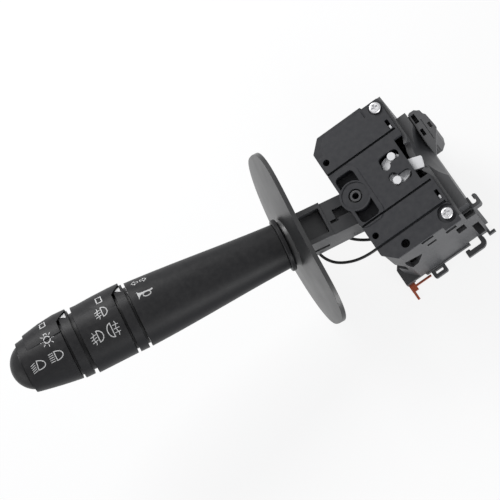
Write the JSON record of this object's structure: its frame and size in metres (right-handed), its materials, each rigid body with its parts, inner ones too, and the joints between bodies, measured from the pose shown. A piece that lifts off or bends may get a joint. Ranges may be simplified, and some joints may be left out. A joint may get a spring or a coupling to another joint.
{
  "type": "combination stalk switch",
  "caption": "Steering column stalk switch: tapered handle with turning light and fog rings, horn push button, oval shield, and a housing with cover, cancel striker, plug socket and cable hooks.",
  "frame": {"origin": "on the cover face, midway between the two column fixing holes", "axes": "+Z is the cover normal, towards the driver; +X runs across the housing to the steering column, and the stalk leaves towards -X; +Y runs along the line of the two fixing holes"},
  "size_m": [0.2056, 0.0842, 0.0827],
  "materials": {
    "cover_black": "fine moulded grain",
    "stalk_black": "satin grain",
    "knob_black": "satin grain",
    "collar_black": "smooth satin",
    "arm_black": "moulded",
    "housing_black": "moulded",
    "white_plastic": "natural acetal",
    "board_plastic": "phenolic",
    "screw_zinc": "zinc plated",
    "spring_steel": "drawn wire",
    "copper": "rolled copper alloy",
    "lead_black": "extruded sleeve"
  },
  "bodies": {
    "housing": {"cover_plate": "cover_black", "cover_screws": "screw_zinc", "housing": "housing_black", "retaining_hooks": "white_plastic", "base_plate": "housing_black", "contact_board": "board_plastic", "contact_tracks": "copper", "detent_cam": "white_plastic", "striker_clip": "spring_steel", "copper_strip": "copper", "connector_shell": "housing_black", "connector_pins": "copper"},
    "striker": {"cancel_striker": "white_plastic"},
    "carrier": {"turn_carrier": "arm_black", "pull_pin": "spring_steel", "contact_slider": "arm_black", "wiper_contacts": "copper", "horn_lead_long": "lead_black", "horn_lead_short": "lead_black"},
    "lever": {"lever_arm": "arm_black", "arm_cover": "arm_black", "collar_shield": "collar_black", "bead_ring": "stalk_black", "stalk_body": "stalk_black", "fog_pointer_band": "knob_black", "light_pointer_band": "knob_black", "ring_detent_balls": "spring_steel", "ring_detent_springs": "spring_steel", "fog_contact_disc": "white_plastic", "light_contact_disc": "white_plastic", "ring_contact_tracks": "copper", "horn_contact_seat": "white_plastic", "horn_contact_plate": "copper", "horn_spring": "spring_steel", "detent_spring": "spring_steel"},
    "plunger": {"detent_plunger": "white_plastic"},
    "light_knob": {"light_ring": "knob_black", "light_wiper": "copper"},
    "fog_knob": {"fog_ring": "knob_black", "fog_wiper": "copper"},
    "horn": {"horn_button": "knob_black", "horn_contact_ring": "copper"}
  },
  "joints": [
    {"name": "stalk_turn", "type": "hinge", "parent": "housing", "child": "carrier", "pos_m": [0.0024, 0, 0], "axis": [0, 0, 1], "range_deg": [0, 8.8]},
    {"name": "striker_rock", "type": "hinge", "parent": "housing", "child": "striker", "pos_m": [0.0223, 0, 0], "axis": [0, 0, 1], "range_deg": [0, 37.84]},
    {"name": "flash_pull", "type": "hinge", "parent": "carrier", "child": "lever", "pos_m": [0.0024, 0, -0.02], "axis": [0.1011, 0.9949, 0], "range_deg": [0, 7], "stiffness_Nm_per_rad": 6, "springref_deg": -4.58},
    {"name": "plunger_slide", "type": "slide", "parent": "lever", "child": "plunger", "axis": [-0.9949, 0.1011, 0], "range_m": [0, 0.0012], "stiffness_N_per_m": 10, "springref_m": -0.002, "deforming": ["detent_spring"]},
    {"name": "light_turn", "type": "hinge", "parent": "lever", "child": "light_knob", "pos_m": [0.0024, 0, -0.02], "axis": [-0.9632, 0.0978, 0.2504], "range_deg": [0, 62]},
    {"name": "fog_turn", "type": "hinge", "parent": "lever", "child": "fog_knob", "pos_m": [0.0024, 0, -0.02], "axis": [-0.9632, 0.0978, 0.2504], "range_deg": [0, 62]},
    {"name": "horn_press", "type": "slide", "parent": "lever", "child": "horn", "axis": [0.9632, -0.0978, -0.2504], "range_m": [0, 0.0025], "stiffness_N_per_m": 1200, "springref_m": -0.002, "deforming": ["horn_spring"]}
  ],
  "couplings": [
    {"joint": "striker_rock", "follows": "stalk_turn", "ratio": 4.3},
    {"joint": "plunger_slide", "follows": "flash_pull", "m_per_rad": 0.009822}
  ]
}
